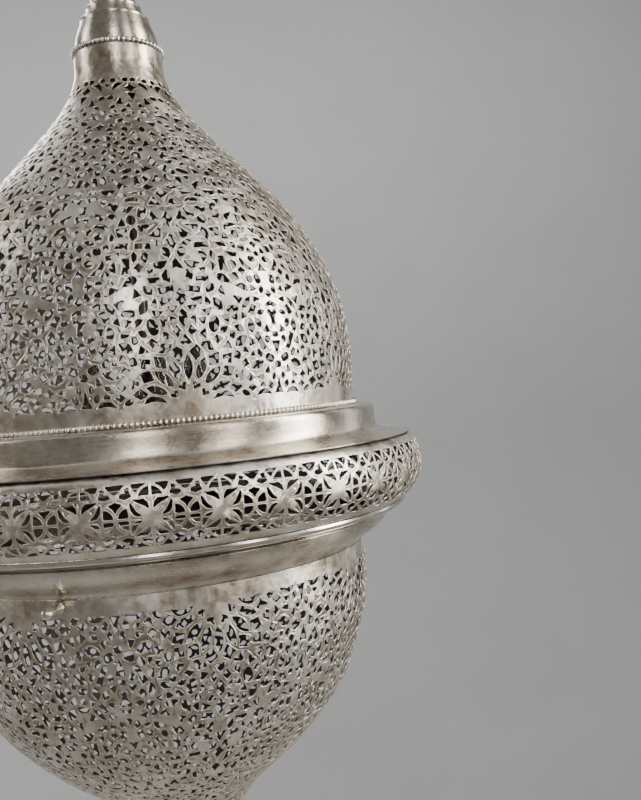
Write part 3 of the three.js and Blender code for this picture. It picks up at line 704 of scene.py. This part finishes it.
# ---- materials
class Nodes:
    """Short names for building a material's node tree."""

    def __init__(self, name):
        self.material = bpy.data.materials.new(name)
        self.material.use_nodes = True
        self.tree = self.material.node_tree
        self.shader = self.tree.nodes["Principled BSDF"]

    def feed(self, node, inputs):
        """Links the inputs that are given another node's output, and sets the others."""
        for key, value in inputs.items():
            if isinstance(value, bpy.types.NodeSocket):
                self.tree.links.new(value, node.inputs[key])
            elif value is not None:
                node.inputs[key].default_value = value

    def add(self, kind, output, inputs, **settings):
        node = self.tree.nodes.new("ShaderNode" + kind)
        for key, value in settings.items():
            setattr(node, key, value)
        self.feed(node, inputs)
        return node.outputs[output]

    def noise(self, scale, detail=4, roughness=0.55, stretch=(1, 1, 1)):
        """Noise over the object's own coordinates, stretched along each axis."""
        place = self.add("Mapping", "Vector",
                         {"Vector": self.add("TexCoord", "Object", {}), "Scale": stretch})
        return self.add("TexNoise", "Fac", {"Vector": place, "Scale": scale, "Detail": detail,
                                            "Roughness": roughness})

    def attribute(self, name, output="Fac"):
        return self.add("Attribute", output, {}, attribute_name=name)

    def math(self, operation, first, second=None):
        return self.add("Math", "Value", {0: first, 1: second}, operation=operation)

    def ramp(self, factor, stops):
        color = self.add("ValToRGB", "Color", {"Fac": factor})
        elements = color.node.color_ramp.elements
        while len(elements) < len(stops):
            elements.new(0.5)
        for element, (position, tone) in zip(elements, stops):
            element.position = position
            element.color = (*tone, 1)
        return color

    def span(self, factor, low, high, from_low=0.3, from_high=0.7):
        """A factor's range from_low to from_high, mapped to low to high."""
        return self.add("MapRange", "Result", {"Value": factor, "From Min": from_low,
                                               "From Max": from_high, "To Min": low,
                                               "To Max": high})

    def mix(self, factor, share, color, tone):
        """A colour turned towards a tone by a share of a factor."""
        factor = self.math("MULTIPLY", factor, share) if share < 1 else factor
        return self.add("Mix", 2, {0: factor, 6: color, 7: (*tone, 1)}, data_type="RGBA")

    def bump(self, height, distance, strength=1.0, below=None):
        return self.add("Bump", "Normal", {"Height": height, "Distance": distance,
                                           "Strength": strength, "Normal": below})

    def finish(self, color, roughness, normal=None, **constants):
        inputs = {key.replace("_", " "): value for key, value in constants.items()}
        self.feed(self.shader, {"Base Color": color, "Roughness": roughness, "Normal": normal,
                                **inputs})
        return self.material


STRAP_LINE = 2.4  # depths of the engraved lines, in times the depth of the bump
PETAL_LINE = 1.8
RUBBED = 0.0002  # depth of the bump of rubbing and engraving, in metres
PETAL_LINES = 16  # fine lines in half a turn about a flower's middle
PETAL_RIBS = 4  # ribs in half a turn


def worked_metal(name, tones, smooth, dull, streak, spin, engraved=None, waves=0.00006,
                 grain=0.6):
    """Spun and hand-rubbed metal: cloudy tones, fine streaks, and dull on its inside, where it is
    painted dark as tarnish and painted shade.

    tones run from stained to bright, smooth and dull are the roughness limits, streak is the
    depth of the fine rubbing lines, spin says how tightly they follow the turning, waves is the
    height of the hand-worked unevenness in metres, and grain is how much the turning marks
    draw a highlight out across them.
    """
    n = Nodes(name)
    stained, _, bright = tones
    cloud, patch = n.noise(9, 6, 0.6), n.noise(42, 5, 0.65)
    lines = n.noise(14, 3, 0.7, (6, 6, spin))
    mottled = n.math("ADD", n.math("MULTIPLY", cloud, 0.6), n.math("MULTIPLY", patch, 0.4))
    inside = n.attribute("inside")
    color = n.ramp(mottled, list(zip((0.35, 0.48, 0.6), tones)))
    color = n.mix(n.span(lines, 0.0, 0.25, 0.42, 0.6), 1, color, bright)
    color = n.mix(n.attribute("sawn_edge"), 0.5, color, bright)
    # the inside is painted dark: partly tarnish, partly painted shade of the lantern's unlit inside
    color = n.mix(inside, 0.9, color, TARNISH_AND_SHADE)
    roughness = n.math("ADD", n.span(patch, smooth, dull), n.span(lines, -0.04, 0.04))
    roughness = n.math("ADD", roughness, n.math("MULTIPLY", inside, 0.3))
    height = n.math("ADD", n.math("MULTIPLY", lines, streak), n.math("MULTIPLY", patch, 0.3))
    strap = n.span(n.attribute("strap_middle"), 0.0, 1.0, 0.3, 0.65)
    cuts = [(n.math("MULTIPLY", strap, n.math("SUBTRACT", 1.0, inside)), STRAP_LINE, 0.75)]
    if engraved is not None:
        cuts.append((engraved(n), PETAL_LINE, 0.8))
    for cut, depth, dark in cuts:
        height = n.math("SUBTRACT", height, n.math("MULTIPLY", cut, depth))
        color = n.mix(cut, dark, color, stained)
    normal = n.bump(height, RUBBED, 0.5, n.bump(n.noise(95, 2, 0.5), waves))
    turning = n.add("Tangent", "Tangent", {}, direction_type="RADIAL", axis="Z")
    return n.finish(color, roughness, normal, Metallic=1.0, Anisotropic=grain,
                    Anisotropic_Rotation=0.25, Tangent=turning)


def engraved_petals(n):
    """Fine lines cut along the petals of the flange's flowers, fanning from their middles."""
    place = n.attribute("tile_place", "Vector")
    across, down = (n.add("SeparateXYZ", axis, {"Vector": place}) for axis in "XY")
    down = n.math("SUBTRACT", down, FLANGE_LEVEL)
    angle = n.math("ARCTAN2", down, across)
    reach = n.math("SQRT", n.math("ADD", n.math("MULTIPLY", across, across),
                                  n.math("MULTIPLY", down, down)))
    lines, ribs = (n.span(n.math("ABSOLUTE", n.math("SINE", n.math("MULTIPLY", angle, count))),
                          1, 0, 0, width)
                   for count, width in ((PETAL_LINES, 0.5), (PETAL_RIBS, 0.2)))
    within = n.math("MULTIPLY", n.span(reach, 0, 1, 2, 4), n.span(reach, 1, 0, 11, 15))
    return n.math("MULTIPLY", n.math("MAXIMUM", lines, ribs), within)


def glazed(name, low, high, roughness, **constants):
    """Porcelain or glass, a little cloudy, with a fine unevenness in its gloss."""
    n = Nodes(name)
    cloud = n.noise(60, 3)
    return n.finish(n.ramp(cloud, [(0.35, low), (0.65, high)]),
                    n.span(cloud, roughness, roughness + 0.08),
                    n.bump(n.noise(700, 2), 0.00005, 0.3), **constants)


# tone of the lantern's inside: dark tarnish and painted shade
TARNISH_AND_SHADE = (0.055, 0.047, 0.04)
SILVER = ((0.34, 0.255, 0.175), (0.60, 0.525, 0.425), (0.85, 0.795, 0.70))
BRIGHT = ((0.46, 0.42, 0.36), (0.68, 0.64, 0.57), (0.88, 0.85, 0.78))
IRON = ((0.13, 0.125, 0.12), (0.26, 0.255, 0.25), (0.40, 0.395, 0.385))
# very dark brass tones; every piece in this finish stands inside the lantern
DARK_BRASS = ((0.035, 0.029, 0.022), (0.075, 0.06, 0.044), (0.125, 0.1, 0.072))
PIERCED = worked_metal("pierced_nickel_silver", SILVER, 0.29, 0.43, 0.5, 6, waves=0.00066,
                       grain=0.45)
FLOWERED = worked_metal("engraved_nickel_silver", SILVER, 0.27, 0.4, 0.4, 6, engraved_petals,
                        0.00066, 0.3)
SLOT_MATERIALS = {
    "sheet": worked_metal("spun_nickel_silver", SILVER, 0.22, 0.35, 0.8, 160, waves=0.00012,
                          grain=0.85),
    "trim": worked_metal("burnished_trim", BRIGHT, 0.18, 0.3, 0.4, 60),
    "cast": worked_metal("cast_nickel_silver", SILVER, 0.3, 0.45, 0.6, 30, waves=0.00018,
                         grain=0.2),
    "steel": worked_metal("plated_steel", IRON, 0.3, 0.5, 0.7, 20, grain=0.2),
    "brass": worked_metal("turned_brass", DARK_BRASS, 0.28, 0.46, 0.6, 90),
    "porcelain": glazed("glazed_porcelain", (0.80, 0.78, 0.72), (0.88, 0.87, 0.83), 0.16,
                        Coat_Weight=0.5),
    "glass": glazed("smoked_bulb_glass", (0.40, 0.37, 0.33), (0.47, 0.44, 0.40), 0.03,
                    Transmission_Weight=1.0, IOR=1.45)}

# ---- turned and drawn pieces
WIDE_ROUND = 256
NECK_ROUND = 128
SMALL_ROUND = 40
BEAD_STRETCH = 1.25  # beads stand taller than they are long
BEAD_SHARE = 0.47  # half a bead's length, as a share of the pitch
CORE_SHARE = 0.2  # the core wire's radius, as a share of the pitch


def revolve(section, count, closed=True):
    """Points and faces of a (radius, height) section turned about the Z axis.

    The faces look out of the section, whichever way it runs.
    """
    section = np.array(section, float)
    size = len(section)
    around = np.stack([np.sin(turns(count)), -np.cos(turns(count))], 1)
    points = np.zeros((count, size, 3))
    points[:, :, :2] = around[:, None] * section[None, :, :1]
    points[:, :, 2] = section[None, :, 1]
    step = np.where(section[:, 0] < SAME, 0, size).tolist()  # turns share a point on the axis
    faces = []
    for i in range(count):
        for j in range(size if closed else size - 1):
            k, after = (j + 1) % size, (i + 1) % count
            face = dict.fromkeys([j + i * step[j], k + i * step[k], k + after * step[k],
                                  j + after * step[j]])
            if len(face) > 2:
                faces.append([*face][::-1] if area(section) > 0 else [*face])
    return points.reshape(-1, 3), faces


def sheet_section(outline, thickness=SHEET):
    """A closed section: the outline, and the same outline set in by the sheet's thickness."""
    outline = np.array(outline, float)
    along = unit(np.gradient(outline, axis=0))
    inward = np.stack([along[:, 1], -along[:, 0]], 1)
    return np.concatenate([outline, (outline + inward * thickness)[::-1]])


def bored_section(outline, bore):
    """A solid turned shape with a straight bore."""
    return [*outline, (bore, outline[-1][1]), (bore, outline[0][1])]


def turned_piece(name, section, body, slot, node, count=NECK_ROUND, sharp=38, place=None,
                 tarnished_and_shaded=()):
    """A turned piece, with its axis upright or laid elsewhere by a matrix.

    Its last argument lists the section's points that face the lantern's unpolished inside, painted dark
    there as tarnish and painted shade.
    """
    points, faces = revolve(section, count)
    if place is not None:
        points = points @ np.array(place.to_3x3()).T + np.array(place.translation)
    inside = np.isin(np.arange(len(points)) % len(section), tarnished_and_shaded)
    obj = make_mesh(name, points, faces, inside=inside)
    obj.data.set_sharp_from_angle(angle=math.radians(sharp))
    finished(obj, body, slot, node)


def drawn_piece(name, path, radius, body, slot, node, closed=True, sides=20):
    """A round wire along a path of points, with its ends closed if the path is open."""
    ahead = np.roll(path, -1, axis=0) - np.roll(path, 1, axis=0)
    ahead = unit(ahead if closed else np.gradient(path, axis=0))
    side = unit(np.cross(ahead[0], (0.3, 0.5, 0.81)))  # any direction that no path takes
    cos, sin = np.cos(turns(sides))[:, None], np.sin(turns(sides))[:, None]
    rings = []
    for place, along in zip(path, ahead):
        side = unit(side - along * (side @ along))
        rings.append(place + radius * (cos * side + sin * np.cross(along, side)))
    # how far a closed wire's sides have turned by the time the path comes round
    shift = int(np.argmin([np.sum((np.roll(rings[0], -k, axis=0) - rings[-1]) ** 2)
                           for k in range(sides)]))
    faces, last = [], (len(rings) - 1) * sides
    for a in range(0, last + sides if closed else last, sides):
        b, offset = (0, shift) if a == last else (a + sides, 0)
        for k in range(sides):
            m = (k + 1) % sides
            faces.append([a + k, a + m, b + (m + offset) % sides, b + (k + offset) % sides])
    if not closed:
        faces += [[*range(sides)][::-1], [*range(last, last + sides)]]
    obj = make_mesh(name, np.concatenate(rings), faces)
    obj.data.set_sharp_from_angle(angle=math.radians(50))
    finished(obj, body, slot, node)


def bead_row(name, ring_radius, height, pitch, body, node):
    """Beaded wire: flattened beads on a thin core, the beads a pitch apart round the ring."""
    count = round(2 * math.pi * ring_radius / pitch)
    polar = np.linspace(0, math.pi, 8)
    half = np.stack([np.sin(polar) * BEAD_STRETCH, np.cos(polar)], 1)
    bead, bead_faces = revolve(half * pitch * BEAD_SHARE, 10)
    core = np.stack([np.cos(turns(8)), np.sin(turns(8))], 1) * pitch * CORE_SHARE
    ring, faces = revolve(core + (ring_radius, height), 3 * count)
    points = [ring]
    for index, turn in enumerate(turns(count)):
        radial = np.array([math.sin(turn), -math.cos(turn), 0])
        along = np.array([math.cos(turn), math.sin(turn), 0])
        points.append(bead @ np.array([UP, -radial, -along]) + radial * ring_radius + UP * height)
        start = len(ring) + index * len(bead)
        faces += [[start + i for i in face] for face in bead_faces]
    finished(make_mesh(name, np.concatenate(points), faces), body, "trim", node)


# ---- the lantern's pieces
BOWL_STRETCH = 1.14  # the bowl repeats the dome's pattern upside down: longer at its rim,
BOWL_SCALE = 0.93  # and closer towards its foot, to this share of its length overall
BOWL_BORDER = 12.5
DOME_BORDER_START = 358
FIELD_SPACING = 6.5
FLANGE_SPACING = 5
COARSE_BEADS = 4.4  # pitches of the beaded wires
FINE_BEADS = 4.0


def add_sheet(name, outline, holes, azimuth, body, *nodes):
    """A sheet pierced all round with the holes of half a sector and their mirror images."""
    sector = 2 * math.pi / SECTORS
    tile = half_tile(outline, holes, sector / 2, FIELD_SPACING)
    piece = pierced_piece(name, outline, tile, math.radians(azimuth), sector, SECTORS)
    finished(piece, body, "sheet", *nodes, material=PIERCED)


def add_dome_and_bowl():
    dome, bowl = Outline(DOME), Outline(BOWL)
    closing = (BOWL_STRETCH - BOWL_SCALE) / DOME_BORDER_START
    dome_holes, bowl_holes = sector_holes(dome, 2 * math.pi / SECTORS), []
    for pair in dome_holes:
        ups = [DOME_BORDER_START - loop[:, 1] for loop in pair]
        bowl_holes.append([np.stack([loop[:, 0], BOWL_BORDER + up * (BOWL_STRETCH - closing * up)],
                                    1) for loop, up in zip(pair, ups)])
    add_sheet("dome_pierced", dome, dome_holes, DOME_AXIS, "lantern", "dome_shell")
    bead_row("dome_beads", DOME_BEAD_R, 0, FINE_BEADS, "lantern", "dome_bead_wire")
    add_sheet("bowl_pierced", bowl, bowl_holes, BOWL_AXIS, "bowl", "bowl_shell", "bowl_foot")
    rim = [(181.9, RIM_TOP - 0.2), (181.9, RIM_TOP - 10), (180, RIM_TOP - 10),
           (180, RIM_TOP - 0.2)]
    turned_piece("bowl_inner_strip", rim, "bowl", "sheet", "bowl_rim", WIDE_ROUND)


def add_flange():
    outline = Outline(FLANGE)
    repeat = 2 * math.pi / FLOWERS
    tile = half_tile(outline, flower_holes(outline, repeat), repeat / 2, FLANGE_SPACING)
    flange = pierced_piece("flange_pierced", outline, tile, math.radians(FLOWER_AZIMUTH), repeat,
                           FLOWERS)
    finished(flange, "lantern", "sheet", "flange_ring", material=FLOWERED)
    steps = 60
    # the backs of the cove and the collar and the floor's top face the inside, painted dark: tarnish
    # and painted shade
    backs = range(steps + 1, 2 * steps + 2)
    floor = [(220.6, -89.1), (220.6, -90.3), (190, -90.3), (190, -89.1)]
    for name, node, section, slot, inside in (
            ("cove", "cove_band", sheet_section(fine(COVE, steps)), "sheet", backs),
            ("flange_lower_lip", "flange_lip", fine(LIP, 24), "trim", ()),
            ("flange_bottom", "flange_floor", floor, "sheet", (0, 3)),
            ("collar_band", "collar", sheet_section(fine(COLLAR, steps)), "sheet", backs)):
        turned_piece(name, section, "lantern", slot, node, WIDE_ROUND, tarnished_and_shaded=inside)


def add_hanger():
    ring_height = HANG_HEIGHT - RING_R + RING_WIRE
    link_top = ring_height - RING_R + RING_WIRE + GAP + LINK_WIRE
    link_foot = link_top - LINK_LENGTH
    eye_height = link_foot + LINK_WIRE + GAP + EYE_WIRE - EYE_R
    turn = turns(96)
    rise = np.sin(turn)
    circle = np.stack([np.cos(turn), 0 * turn, rise], 1)
    straight = LINK_LENGTH / 2 - LINK_HALF_WIDTH
    stand = LINK_HALF_WIDTH * rise + straight * np.tanh(3 * rise) / math.tanh(3)
    link = np.stack([0 * turn, LINK_HALF_WIDTH * np.cos(turn), stand], 1)
    for name, path, height, wire, body, node in (
            ("ring", circle * RING_R, ring_height, RING_WIRE, "hanger", "hanging_ring"),
            ("link", link, (link_top + link_foot) / 2, LINK_WIRE, "link", "hanging_link"),
            ("eye_loop", circle * EYE_R, eye_height, EYE_WIRE, "lantern", "top_eye")):
        drawn_piece(name, path + UP * height, wire, body, "cast", node)
    shank = [(0, eye_height - EYE_R), (SHANK_R, eye_height - EYE_R), (SHANK_R, 418),
             (SHANK_R - 1, 417), (0, 417)]
    turned_piece("eye_shank", shank, "lantern", "cast", "top_eye", SMALL_ROUND)


def add_spire():
    bore = STEM_R + GAP
    sleeve = [(36.4, 329.8), (36.4, 300), (35.2, 300), (35.2, 329.8)]
    plate = [(34.4, 323), (34.9, 322.5), (34.9, 321), (bore, 321), (bore, 323)]
    turned_piece("knop", bored_section(fine(KNOP, 66), SHANK_R + GAP), "lantern", "cast",
                 "spire_knop")
    turned_piece("cone", sheet_section(fine(CONE, 24)), "lantern", "sheet", "spire_cone")
    turned_piece("stepped_cap", sheet_section(CAP), "lantern", "sheet", "neck_cap", sharp=24)
    turned_piece("neck_inner_sleeve", sleeve, "lantern", "sheet", "neck_sleeve")
    bead_row("neck_beads", NECK_BEAD_R, NECK_BEAD_H, COARSE_BEADS, "lantern", "neck_bead_wire")
    turned_piece("neck_disc", plate, "lantern", "brass", "neck_plate")


def add_tail():
    bore = ROD_R + GAP
    drop = TAIL_BEAD_H + NECK_BEAD_H
    mirrored = [(r, drop - h) for r, h in CAP][::-1]
    sleeve = [(36.4, -386), (36.4, -407), (35.2, -407), (35.2, -386)]
    plate = [(34.4, -398), (34.9, -398.5), (34.9, -400), (bore, -400), (bore, -398)]
    rod = [(0, -388), (3.4, -388), (ROD_R, -388.6), (ROD_R, -494), (0, -494)]
    turned_piece("tail_stepped_cap", sheet_section(mirrored), "bowl", "sheet", "tail_cap",
                 sharp=24)
    bead_row("tail_beads", NECK_BEAD_R, TAIL_BEAD_H, COARSE_BEADS, "bowl", "tail_bead_wire")
    turned_piece("tail_inner_sleeve", sleeve, "bowl", "sheet", "tail_sleeve")
    turned_piece("tail_disc", plate, "bowl", "brass", "tail_plate")
    turned_piece("rod", rod, "bowl", "brass", "finial_rod", SMALL_ROUND)
    for name, node, outline in (("finial_neck", "finial_stem", FINIAL_STEM),
                                ("finial_sphere", "finial_ball", FINIAL_BALL)):
        turned_piece(name, bored_section(fine(outline, 40), bore), "bowl", "cast", node)
    tip = [(0, FINIAL_DROP[0][1]), *fine(FINIAL_DROP, 40)[:-1], (0, FINIAL_DROP[-1][1])]
    turned_piece("finial_tip", tip, "bowl", "cast", "finial_drop")


def add_fittings():
    bore = STEM_R + GAP
    stem = [(STEM_R, 415.4), (STEM_R, CLUSTER_H + 6), (STEM_BORE, CLUSTER_H + 6),
            (STEM_BORE, 416), (STEM_R - 0.6, 416)]
    hub = [(23.4, -3.3), (24, -3.9), (24, -7), (bore, -7), (bore, -3.3)]
    cluster = [(bore, 14), (15, 14), (16, 13), (16, 1.5), (14.5, 0), (0, 0), (0, 5.5),
               (bore, 5.5)]
    turned_piece("stem", stem, "lantern", "brass", "stem_tube", SMALL_ROUND)
    turned_piece("spider_disc", hub, "lantern", "steel", "spider_hub",
                 place=Matrix.Translation((0, 0, SPIDER_H)))
    turned_piece("lamp_body", cluster, "lantern", "brass", "lamp_cluster",
                 place=Matrix.Translation((0, 0, CLUSTER_H)))
    for index in range(LAMP_COUNT):
        add_lamp(index)


def add_lamp(index):
    """An arm, a lampholder and a bulb; sections are counted from the lampholder's foot."""
    turn = (index + 0.5) / LAMP_COUNT * 2 * math.pi
    lean = np.array([math.cos(turn), math.sin(turn), 0])
    foot = lean * LAMP_R + UP * LAMP_SOCKET_H
    level = CLUSTER_H + 6
    bend, rise = LAMP_R - 12, LAMP_SOCKET_H - GAP - level
    t = np.linspace(0, 1, 20)[1:, None]
    curve = (1 - t) ** 2 * (bend, 0) + 2 * t * (1 - t) * (LAMP_R, 0) + t ** 2 * (LAMP_R, rise)
    path = np.array([(16.4, 0), (bend, 0), *curve])
    path = path[:, :1] * lean + (path[:, 1:] + level) * UP
    drawn_piece(f"arm_{index}", path, 3.6, "lantern", "brass", f"lamp_arm_{index}", False)
    holder = [(0, 0), (12.4, 0), (13.2, 0.8), (14.9, 5.4), (14.9, 6.6), (12.8, 11.4),
              (12.8, 30), (13.4, 32), (13.4, 35), (12.6, 36), (8.9, 36), (8.3, 35.4), (8.3, 8),
              (0, 8)]
    thread = [(7.6 - 0.5 * (k % 2), 14 + k * 1.1) for k in range(21)]
    cap = [(0, 10), (4, 10), (7.1, 13.4), *thread, (7.6, 37), (0, 37)]
    bulb = fine([(7.4, 37.3), (9.4, 44), (15.4, 56), (17.3, 68), (15.2, 81), (10.4, 94),
                 (5.4, 104), (2.2, 109.6), (0.02, 112)], 48)
    for name, section, slot, node, count in (
            ("holder", holder, "porcelain", "lampholder", 64),
            ("cap", cap, "steel", "bulb_cap", SMALL_ROUND),
            ("bulb", blown_section(bulb, 0.7), "glass", "bulb_glass", 48)):
        turned_piece(f"{name}_{index}", section, "lantern", slot, f"{node}_{index}", count,
                     place=Matrix.Translation(Vector(foot)))
    t = np.linspace(0, 1, 60)[:, None]
    coil = foot + lean * 3.2 * np.sin(t * 2 * math.pi) + UP * (38 + 52 * np.sin(t * math.pi))
    drawn_piece(f"filament_{index}", coil, 0.3, "lantern", "steel", f"bulb_glass_{index}", False,
                8)


def blown_section(outline, thickness):
    """A closed section of blown glass, open at its foot; the outline runs up to the axis."""
    outline[-1, 0] = 0
    inner = sheet_section(outline, -thickness)[len(outline):]
    inner[0] = (0, outline[-1, 1] - thickness)
    return np.concatenate([outline, inner])


def add_latch_and_hinge():
    spindle, half = LATCH_SPINDLE_R, HINGE_HALF + 1.5
    knob = [(0, 171), (spindle - 0.4, 171), (spindle, 171.4), (spindle, 184), (4.2, 184),
            (4.6, 184.4), (4.6, 185.2), (4, 185.8), (3, 186.6), (2.9, 188), (3.5, 189.4),
            (4.1, 191), (4.3, 193.6), (4.3, 198), (4.05, 201), (3.3, 203), (1.8, 203.9),
            (0, 204)]
    pin = [(0, half), (PIN_R - 0.4, half), (PIN_R, half - 0.4), (PIN_R, -half + 0.4),
           (PIN_R - 0.4, -half), (0, -half)]
    quarter = math.radians(90)
    turned_piece("knob", knob, "latch", "trim", "latch_knob", SMALL_ROUND, 50,
                 Matrix.Translation((0, 0, LATCH_H)) @ Matrix.Rotation(quarter, 4, "X"))
    lay = Matrix.Translation((0, HINGE_Y, HINGE_H)) @ Matrix.Rotation(quarter, 4, "Y")
    turned_piece("pin", pin, "lantern", "steel", "hinge_pin", SMALL_ROUND, place=lay)


def dress_kept_nodes():
    """CAD nodes whose shape is right keep it, and take their slot's procedural material."""
    slots = {part["node"]: part["material_slot"] for part in frame["record"]["subparts"]}
    for name, node in frame["nodes"].items():
        if not node.hide_render:
            node.data.materials.clear()
            node.data.materials.append(SLOT_MATERIALS[slots[name]])


# ---- floor, light and camera
CAMERA_AZIMUTH = math.radians(24.1)
CAMERA_PLACE = (0, -0.8096, -0.56235)  # in metres, before the turn by CAMERA_AZIMUTH
CAMERA_YAW = math.radians(11.036)
CAMERA_PITCH = math.radians(-0.932)
CAMERA_ROLL = math.radians(-5.010)
CAMERA_LENS = 39.38
FLOOR_DROP = 1100  # from the finial down to the floor: the lantern hangs clear of it
FLOOR_RADIUS = 2200
SWEEP_RADIUS = 1400
WALL_HEIGHT = 7500
LIGHTS_AIM = Vector((0, 0, -0.5))  # lights stand round this point, in metres
WARM = (1, 0.985, 0.955)
WHITE = (1, 1, 1)
SOFT_LIGHTS = (  # name, azimuth from the camera's, elevation, width and height in metres, power, colour
    ("key", 73, 17, (0.55, 2.3), 21, WARM), ("second", 35, 18, (0.24, 2.3), 4, WARM),
    ("front", -4, 22, (0.2, 1.8), 3.4, WHITE), ("side", 110, 10, (0.25, 1.8), 0.8, WHITE),
    ("behind", 200, 24, (0.5, 2.0), 7, WHITE), ("behind_left", 262, 24, (0.3, 2.0), 5, WHITE))
WALL_LIGHTS = ((180, 55), (60, 13), (300, 13))  # azimuth from the camera's, power


def add_stage():
    """A plain pale floor that sweeps up into a round wall, so every side has the same ground."""
    floor = CAD_BOX[0].z / MM + HANG_HEIGHT - FLOOR_DROP
    sweep = [(FLOOR_RADIUS + SWEEP_RADIUS * math.sin(angle),
              floor + SWEEP_RADIUS * (1 - math.cos(angle)))
             for angle in np.linspace(0, math.pi / 2, 17)[1:]]
    profile = [*[(radius, floor) for radius in np.linspace(0, FLOOR_RADIUS, 8)], *sweep,
               (FLOOR_RADIUS + SWEEP_RADIUS, floor + WALL_HEIGHT)]
    obj = make_mesh("floor", *revolve(profile, 96, closed=False))
    obj.data.flip_normals()
    paper = Nodes("pale_paper")
    grain = paper.noise(3, 2)
    tint = paper.ramp(grain, [(0.3, (0.5, 0.5, 0.495)), (0.7, (0.53, 0.53, 0.525))])
    obj.data.materials.append(paper.finish(tint, paper.span(grain, 0.8, 0.9)))


def add_light(name, azimuth, elevation, size, power, color, distance=2.1, spread=90,
              outward=False):
    """A rectangular soft light that faces the lantern, or the wall behind it if outward."""
    light = bpy.data.lights.new(name, "AREA")
    light.shape = "RECTANGLE"
    light.size, light.size_y = size
    light.energy = power
    light.color = color
    light.spread = math.radians(spread)
    obj = bpy.data.objects.new(name, light)
    bpy.context.scene.collection.objects.link(obj)
    turn = CAMERA_AZIMUTH + math.radians(azimuth)
    up = math.radians(elevation)
    back = Vector((math.sin(turn) * math.cos(up), -math.cos(turn) * math.cos(up), math.sin(up)))
    obj.location = LIGHTS_AIM + back * distance
    facing = Vector((-back.x, -back.y, 0.5)) if outward else back
    obj.rotation_euler = facing.to_track_quat("Z", "Y").to_euler()


def add_lights():
    world = bpy.data.worlds.new("studio")
    world.use_nodes = True
    background = world.node_tree.nodes["Background"]
    background.inputs["Color"].default_value = (0.9, 0.93, 0.97, 1)
    background.inputs["Strength"].default_value = 0.22
    bpy.context.scene.world = world
    for light in SOFT_LIGHTS:
        add_light(*light)
    for azimuth, power in WALL_LIGHTS:
        add_light(f"wash_{azimuth}", azimuth, 62, (2.4, 0.8), power, WHITE, 2.4, 150, True)


def add_camera():
    data = bpy.data.cameras.new("camera")
    data.sensor_width = 36
    data.lens = CAMERA_LENS
    data.clip_start, data.clip_end = 0.01, 100
    camera = bpy.data.objects.new("camera", data)
    camera.matrix_world = (Matrix.Rotation(CAMERA_AZIMUTH, 4, "Z")
                           @ Matrix.Translation(CAMERA_PLACE)
                           @ Matrix.Rotation(-CAMERA_YAW, 4, "Z")
                           @ Matrix.Rotation(math.pi / 2 + CAMERA_PITCH, 4, "X")
                           @ Matrix.Rotation(CAMERA_ROLL, 4, "Z"))
    bpy.context.scene.collection.objects.link(camera)
    bpy.context.scene.camera = camera


add_dome_and_bowl()
add_flange()
add_hanger()
add_spire()
add_tail()
add_fittings()
add_latch_and_hinge()
dress_kept_nodes()
add_stage()
add_lights()
add_camera()

bpy.context.view_layer.update()
